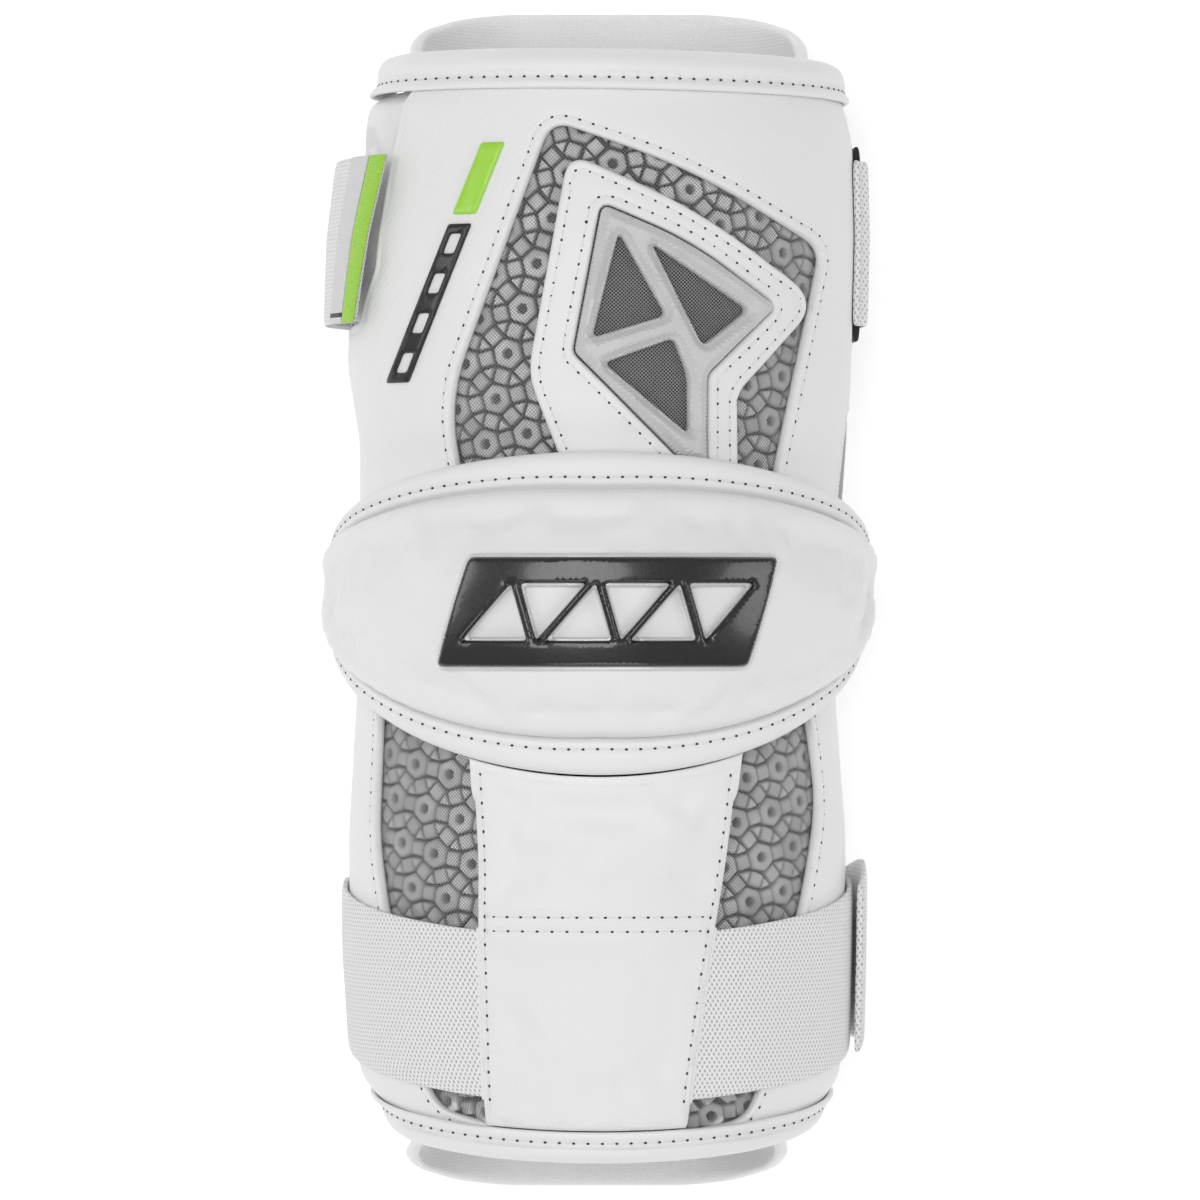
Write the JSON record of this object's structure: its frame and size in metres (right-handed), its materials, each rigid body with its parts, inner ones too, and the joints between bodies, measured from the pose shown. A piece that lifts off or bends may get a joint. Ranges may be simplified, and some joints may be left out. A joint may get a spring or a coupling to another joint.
{
  "type": "lacrosse arm pad",
  "caption": "Padded protective sleeve for the arm with a domed elbow cap, windows of cellular foam, side straps and a pull tab.",
  "frame": {"origin": "centre of the overall box's base, on the surface that the pad's back lies on", "axes": "+X across the arm, +Y along it towards the upper arm, +Z out of the elbow cap"},
  "size_m": [0.1493, 0.312, 0.1214],
  "materials": {
    "leather": "soft matt white synthetic leather with a fine grain",
    "knit": "soft white knit",
    "cell_foam": "grey moulded cells under fine net",
    "truss_plastic": "satin grey moulded plastic",
    "black_print": "satin black print",
    "green_print": "bright yellow-green tape and print",
    "badge_black": "glossy black raised moulding",
    "badge_silver": "thin silver edge",
    "webbing": "woven white elastic with small raised dots",
    "loop_tape": "black hook-and-loop tape",
    "label_cloth": "smooth white woven label"
  },
  "bodies": {
    "root": {"top_collar": "leather", "bottom_collar": "leather", "upper_shell": "leather", "window_patch": "leather", "side_wing": "leather", "cap_base": "leather", "cap_dome": "leather", "forearm_side_left": "leather", "forearm_side_right": "leather", "forearm_panel": "leather", "liner_sleeve": "knit", "upper_foam": "cell_foam", "forearm_foam": "cell_foam", "truss_insert": "truss_plastic", "mark_bars": "black_print", "mark_tip": "green_print", "tab_stripe": "green_print", "cap_badge": "badge_black", "badge_outline": "badge_silver", "forearm_strap": "webbing", "forearm_strap_end": "webbing", "upper_strap": "webbing", "pull_tab": "webbing", "loop_patch": "loop_tape", "tab_label": "label_cloth"}
  },
  "joints": []
}
